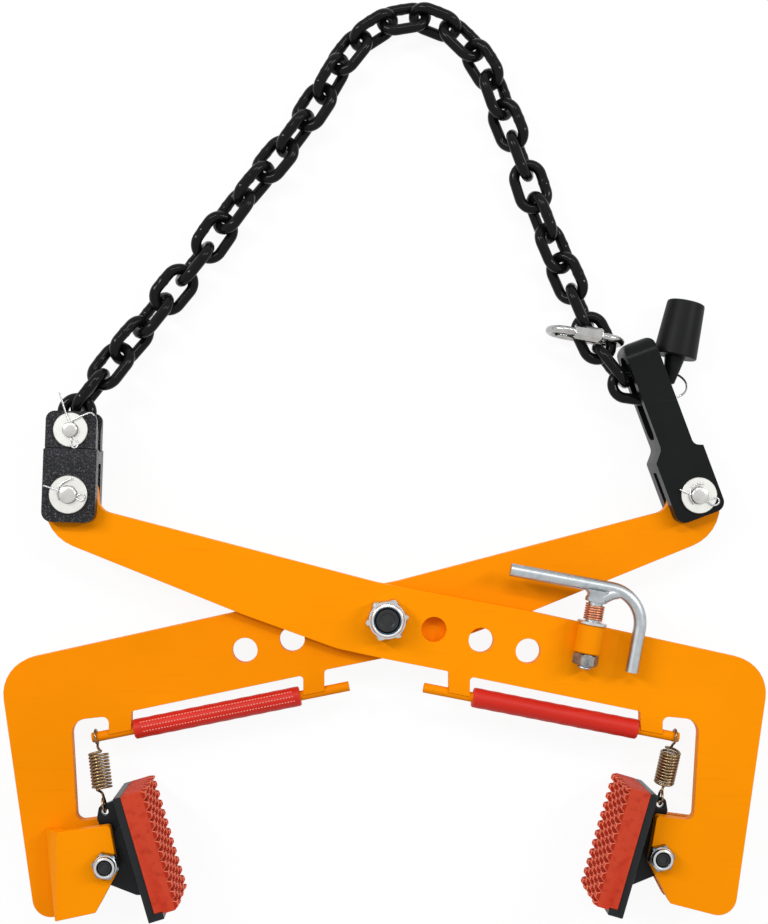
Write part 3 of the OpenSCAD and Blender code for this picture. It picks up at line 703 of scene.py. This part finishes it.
lever_coil = place_piece("lever_coil_spring", bm, [copper], "front_arm_body",
                         ["lever_spring"], smooth_angle=60)
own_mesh(lever_coil)
bm = bmesh.new()
turned_piece(bm, [(6.1, 11.56), (11.6, 11.56), (11.98, 11.9), (11.98, 13.8), (11.6, 14.14),
                  (6.1, 14.14), (6.1, 11.56)], in_frame(lever_place), 40)
place_piece("lever_spring_washer", bm, [zinc], "front_arm_body", ["lever_washer"])
bm = bmesh.new()
turned_piece(bm, [(6.1, -11.5), (9.9, -11.5), (10.9, -10.6), (10.9, 10.6), (9.9, 11.5),
                  (6.1, 11.5), (6.1, -11.5)], in_frame(lever_place), 48)
swelling = [0.7 + 0.3 * math.sin(math.pi * n / 20) ** 0.3 + 0.06 * (n % 2) for n in range(21)]
for edge in (-1, 1):
    bead = [(edge * (6.9 + 0.25 * math.sin(n * 2.1)), 9.4, -10.8 + 1.08 * n) for n in range(21)]
    tube(bm, bead, weld_bead, in_frame(lever_place), sides=2, radii=swelling)
place_piece("lever_bush_welded", bm, [orange_coat], "front_arm_body",
            ["lever_bush"])


def hexagon_piece(name, bore, end, corner, low, high, chamfer, place, material, body, node):
    """A bored six-sided piece from low to high, with chamfered corners at both ends."""
    bm = bmesh.new()
    ring_stack(bm, [("round", bore, low), ("round", end, low), ("hex", corner, low + chamfer),
                    ("hex", corner, high - chamfer), ("round", end, high),
                    ("round", bore, high), ("round", bore, low)])
    bmesh.ops.remove_doubles(bm, verts=bm.verts, dist=weld_distance)
    bmesh.ops.recalc_face_normals(bm, faces=bm.faces)
    bmesh.ops.transform(bm, matrix=in_frame(place), verts=bm.verts)
    place_piece(name, bm, [material], body, [node], smooth_angle=28)


hexagon_piece("lever_end_nut", 6.02, 8.8, 10.39, -21.1, -11.9, 0.9, lever_place, rough_zinc,
              "spindle_body", "lever_nut")

# Link block.
# A rough black casting with a fork at each end, held by two zinc-plated clevis pins with
# washers and bent cotter pins.
# The block's lighter edge colour is a painted highlight along its edges.
rough_cast_painted_glints = coated("rough_cast_painted_glints", (0.003, 0.0032, 0.0034), (0.10, 0.10, 0.11), 0.14, grain=560,
                    bump=0.0022, wear=0.8, clouding=0.7, specular=0.12)
# The light specks laid over the block are painted glints.
speckled(rough_cast_painted_glints, (0.12, 0.12, 0.13), 620, 0.54, 0.72, 0.75)
rounded_copy("link_block", "cast_link_block", rough_cast_painted_glints, 0.0011, 3)
pin_zinc = plated("pin_zinc", (0.60, 0.59, 0.57), (0.36, 0.35, 0.33), 0.22, 0.6)
washer_zinc = plated("washer_zinc", (0.72, 0.72, 0.69), (0.52, 0.51, 0.48), 0.3, 0.7)


def clevis(name, node, place, radius, depth):
    """A headed pin through a fork of this depth; its far end stands out for the cotter pin."""
    back, top = -depth / 2, depth / 2 + 6.5
    head, shank = radius + 2.96, radius - 0.02
    bm = bmesh.new()
    turned_piece(bm, [(0, back - 3), (radius + 2.4, back - 3), (head, back - 2.5),
                      (head, back - 0.5), (radius + 2.4, back - 0.04), (shank, back - 0.04),
                      (shank, top - 1.3), (radius - 0.35, top - 0.7), (radius - 1.2, top - 0.1),
                      (radius * 0.4, top), (0, top)], in_frame(place), 40)
    place_piece(name, bm, [pin_zinc], frame["nodes"][node]["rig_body"], [node])


def washer_ring(bm, place, inner, outer, depth):
    low = depth / 2 + 0.03
    high, rim = low + 2.15, outer - 0.02
    turned_piece(bm, [(inner, low), (outer - 0.3, low), (rim, low + 0.3), (rim, low + 1.7),
                      (outer - 0.5, high), (inner + 0.3, high), (inner, low + 1.8),
                      (inner, low)], in_frame(place))


def smooth_path(points):
    """Cuts the corners of a bent wire's path, twice over."""
    for _ in range(2):
        cut = [points[0]]
        for a, b in zip(points, points[1:]):
            a, b = Vector(a), Vector(b)
            cut += [tuple(a.lerp(b, 0.25)), tuple(a.lerp(b, 0.75))]
        points = cut + [points[-1]]
    return points


def bent_cotter(bm, strands, place):
    cotter_wire = 0.68
    for strand in strands:
        tube(bm, smooth_path(strand), cotter_wire, in_frame(place), sides=2)


block_depth = 32
block_place = move(-252, 99.3, 35.25) @ turn(-1.7, "Z")
chain_end = block_place @ move(0, 51.2, 0)
clevis("block_lower_clevis", "block_arm_pin", block_place, 7, block_depth)
clevis("block_upper_clevis", "block_chain_pin", chain_end, 6, block_depth)
bm = bmesh.new()
washer_ring(bm, block_place, 7.03, 15, block_depth)
part = bmesh.new()
washer_ring(part, chain_end, 6.03, 13.5, block_depth)
join_into(bm, part)
place_piece("block_pin_washers", bm, [washer_zinc], "block_body", ["block_washers"])
bm = bmesh.new()
bent_cotter(bm, [
    [(-8.7, 29.0, 22.5), (-3.2, 12.0, 20.2), (-0.8, 5.6, 19.3), (0, 0, 19.3),
     (0, -4.6, 19.3), (1.3, -8.2, 19.6), (0.6, -11.6, 19.8), (3.2, -14.6, 19.9),
     (6.6, -13.4, 19.9), (6.6, -9.6, 19.7), (2.6, -6.2, 19.4), (0.8, -3, 19.3)],
    [(19.2, 11.6, 21.6), (16.4, 14.4, 22.2), (8, 10.6, 20.6), (1.2, 7.4, 19.4),
     (0.6, 2, 19.3)]], chain_end)
bent_cotter(bm, [
    [(-19.0, 6.6, 21.2), (-12.4, 4.6, 20.0), (-7.2, 3.2, 19.5), (0, 0.4, 19.3),
     (6.8, -1.6, 19.3), (9.4, 0.9, 19.6), (12.6, 0.6, 19.8), (13.6, -2.6, 19.8),
     (11.2, -4.9, 19.7), (8.2, -3.6, 19.4), (5, -1.8, 19.3)],
    [(3.0, 13.0, 20.8), (-0.6, 11.2, 20.2), (-4.6, 8.8, 19.7), (-7.4, 5.6, 19.6),
     (-8.3, 2.2, 19.5), (-7.9, -1.6, 19.5), (-6.6, -4.6, 19.5)]], block_place)
place_piece("block_bent_cotters", bm, [zinc], "block_body", ["block_cotter_pins"],
            smooth_angle=60)

# Chain eye.
# A forged black bow with a long window for the chain and a fork for the rear arm.
# Its clevis pin, washer and bent cotter pin are like those of the block.
eye_black = coated("eye_black", (0.006, 0.0065, 0.0065), (0.03, 0.03, 0.032), 0.27, grain=500,
                   bump=0.0001, wear=0.3, clouding=0.6, specular=0.08)
rounded_copy("chain_eye", "forged_chain_eye", eye_black, 0.0016, 3)
eye_depth = 36
eye_centre = move(252, 99.3, 24.75)
eye_place = eye_centre @ turn(20.5, "Z")
clevis("eye_clevis", "eye_pin", eye_place, 7, eye_depth)
bm = bmesh.new()
washer_ring(bm, eye_place, 7.03, 14.5, eye_depth)
place_piece("eye_pin_washer", bm, [washer_zinc], "eye_body", ["eye_washer"])
bm = bmesh.new()
bent_cotter(bm, [
    [(-16.4, 4.6, 22.6), (-11.4, 2.6, 21.8), (-7.2, 0.9, 21.4), (0, -1.6, 21.3),
     (6.6, -3.9, 21.4), (10.4, -2.2, 21.7), (14.8, -1.8, 21.9), (16, -6, 21.9),
     (11.6, -8.6, 21.8), (7.4, -5.8, 21.5), (4, -3.4, 21.3)],
    [(3.6, 9.4, 22), (-1.8, 9.3, 21.6), (-6.6, 6.4, 21.5), (-8.3, 1.8, 21.5),
     (-7.6, -3.2, 21.5), (-4.4, -7.2, 21.5)]], eye_centre)
place_piece("eye_bent_cotter", bm, [zinc], "eye_body", ["eye_cotter_pin"],
            smooth_angle=60)

# Lifting chain.
# Welded links of 9 mm wire in glossy black lacquer; each link lies at its own turn, as in
# the photo, and has the faint swelling of its weld on one side.
black_lacquer = coated("black_lacquer", (0.004, 0.004, 0.0045), (0.02, 0.02, 0.022), 0.11,
                       grain=420, bump=0.00008, wear=0.25, clouding=0.5, specular=0.11)
chain_wire, link_straight, link_bend = 4.48, 7.15, 11.3
route = [Vector(p) for p in (
    (-246.3, 171, 35.2), (-230.8, 192.3, 29.4), (-215.7, 213.8, 23.7), (-199.3, 234.4, 17.9),
    (-183.1, 255.6, 16), (-166.1, 276.5, 16), (-149.4, 297.6, 16), (-134.2, 320, 16),
    (-118.5, 341.9, 16), (-101.2, 362.6, 16), (-84.2, 383.5, 16), (-68.3, 404.9, 16),
    (-53.6, 427.1, 16), (-40.7, 450.8, 16), (-23.8, 473.6, 16), (0.7, 489.8, 16),
    (27.3, 494.6, 16), (54.2, 484.4, 16), (73.1, 465.2, 16), (87.7, 441.5, 16),
    (96.2, 415.7, 16), (106.5, 390.8, 16), (115.8, 365.5, 16), (123.9, 339.8, 16),
    (133.8, 314.6, 16), (144.5, 289.9, 16), (155.2, 265.4, 16.8), (165.5, 240.5, 18.4),
    (176.7, 216.1, 20.2), (193, 195, 24))]
rolls = (85, -25, 50, -55, 20, -70, 25, -45, 65, -25, 70, -25, 60, -35, 60, -30, 60, -35, 50,
         -45, 40, -70, 5, 75, -35, 40, -70, 5, -85)
legs = [(b - a).length for a, b in zip(route, route[1:])]


def joint_at(number):
    """Where two links meet, at even steps along the route."""
    left = sum(legs) * number / len(rolls)
    for start, end, size in zip(route, route[1:], legs):
        if left <= size:
            return start.lerp(end, left / size)
        left -= size
    return route[-1].copy()


def oval(half_straight, radius):
    """The middle line of a link: two half rounds and two straight sides."""
    right = arc(radius, -90, 90, 7.5, (half_straight, 0))
    left = arc(radius, 90, 270, 7.5, (-half_straight, 0))
    straight = [(half_straight * (1 - n / 4), radius) for n in range(1, 8)]
    back = [(-half_straight * (1 - n / 4), -radius) for n in range(1, 8)]
    return [(x, y, 0) for x, y in right + straight + left + back]


def link_place(number):
    a, b = joint_at(number - 1), joint_at(number)
    d = b - a
    return Matrix.Translation((a + b) / 2) @ Matrix.Rotation(math.atan2(d.y, d.x), 4, "Z") \
        @ Matrix.Rotation(-math.asin(d.z / d.length), 4, "Y") @ turn(rolls[number - 1], "X")


def chain_piece(name, node, places):
    bm = bmesh.new()
    loop = oval(link_straight, link_bend)
    weld = [1 + 0.07 * math.exp(-(x / 1.6) ** 2) if y > 0 else 1 for x, y, z in loop]
    for place in places:
        tube(bm, loop, chain_wire, in_frame(place), True, weld, 4)
    place_piece(name, bm, [black_lacquer], frame["nodes"][node]["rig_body"],
                [node], smooth_angle=60)


chain_piece("end_link", "chain_end_link",
            [chain_end @ turn(-6, "Z") @ move(0, 7.5, 0) @ turn(90, "Z")])
for name, node, first, last in (
        ("left_links", "chain_left_run", 1, 9), ("left_bend_links", "chain_left_bend", 10, 12),
        ("crown_links", "chain_crown", 13, 19), ("right_bend_links", "chain_right_bend", 20, 22),
        ("right_links", "chain_right_run", 23, 27),
        ("quick_link_loop", "chain_quick_link_loop", 28, 28),
        ("turn_link", "chain_turn_link", 29, 29)):
    chain_piece(name, node, [link_place(n) for n in range(first, last + 1)])
chain_piece("last_link", "chain_last_link", [move(204, 189.2, 24.8) @ turn(-8, "Z")])

# Quick link.
# A bright zinc-plated oval of 6 mm wire, open on one side, where a hexagon screw sleeve
# closes it.
bright = plated("bright_quick_link", (0.46, 0.46, 0.45), (0.22, 0.22, 0.21), 0.14, 0.6)
quick_place = move(163.75, 229.9, 20.1) @ turn(-10, "Z") @ turn(86, "X")
quick_wire, quick_straight, quick_bend = 2.98, 16.5, 13.5
sleeve_place = quick_place @ move(-11, quick_bend, 0) @ turn(90, "Y")
bm = bmesh.new()
tube(bm, oval(quick_straight, quick_bend), quick_wire, in_frame(quick_place), closed=True)
place_piece("quick_link_bow", bm, [bright], "right_run_body", ["quick_link_body"],
            smooth_angle=60)
hexagon_piece("quick_link_nut", 3.05, 4.9, 6.06, 0, 23, 1.0, sleeve_place, bright,
              "quick_sleeve_body", "quick_link_sleeve")

# Split ring and tail grip.
# A flat double-turn ring joins the last link to a tapered grip of soft black plastic,
# which is moulded in one piece with its neck.
ring_place = move(231.2, 190.0, 24.8) @ turn(-43, "X")
ring_radius, ring_wire = 15.4, 0.72
bm = bmesh.new()
tube(bm, helix(ring_radius, 2, 48, 0.7, -0.7), ring_wire, in_frame(ring_place), sides=2)
place_piece("tail_split_ring", bm, [bright], "right_run_body", ["split_ring"],
            smooth_angle=60)
grip_rubber = coated("grip_rubber", (0.006, 0.0062, 0.0065), (0.02, 0.02, 0.02), 0.42, grain=1500,
                     bump=0.00006, wear=0.2, clouding=0.5, specular=0.1)
bm = bmesh.new()
turned_piece(bm, [(0, -22.6), (3.4, -22.6), (4.4, -21.6), (8.5, 0.02), (16.9, 0.02), (17.8, 0.9),
                  (17.75, 3), (15.6, 43.6), (15.2, 45.2), (14, 46), (9, 46.0), (0, 46.0)],
             in_frame(move(238.6, 213.6, 18.2), turn(-12.4, "Z"), turn(-90, "X")), 64)
place_piece("tail_grip_rubber", bm, [grip_rubber], "tail_grip_body",
            ["tail_grip"])
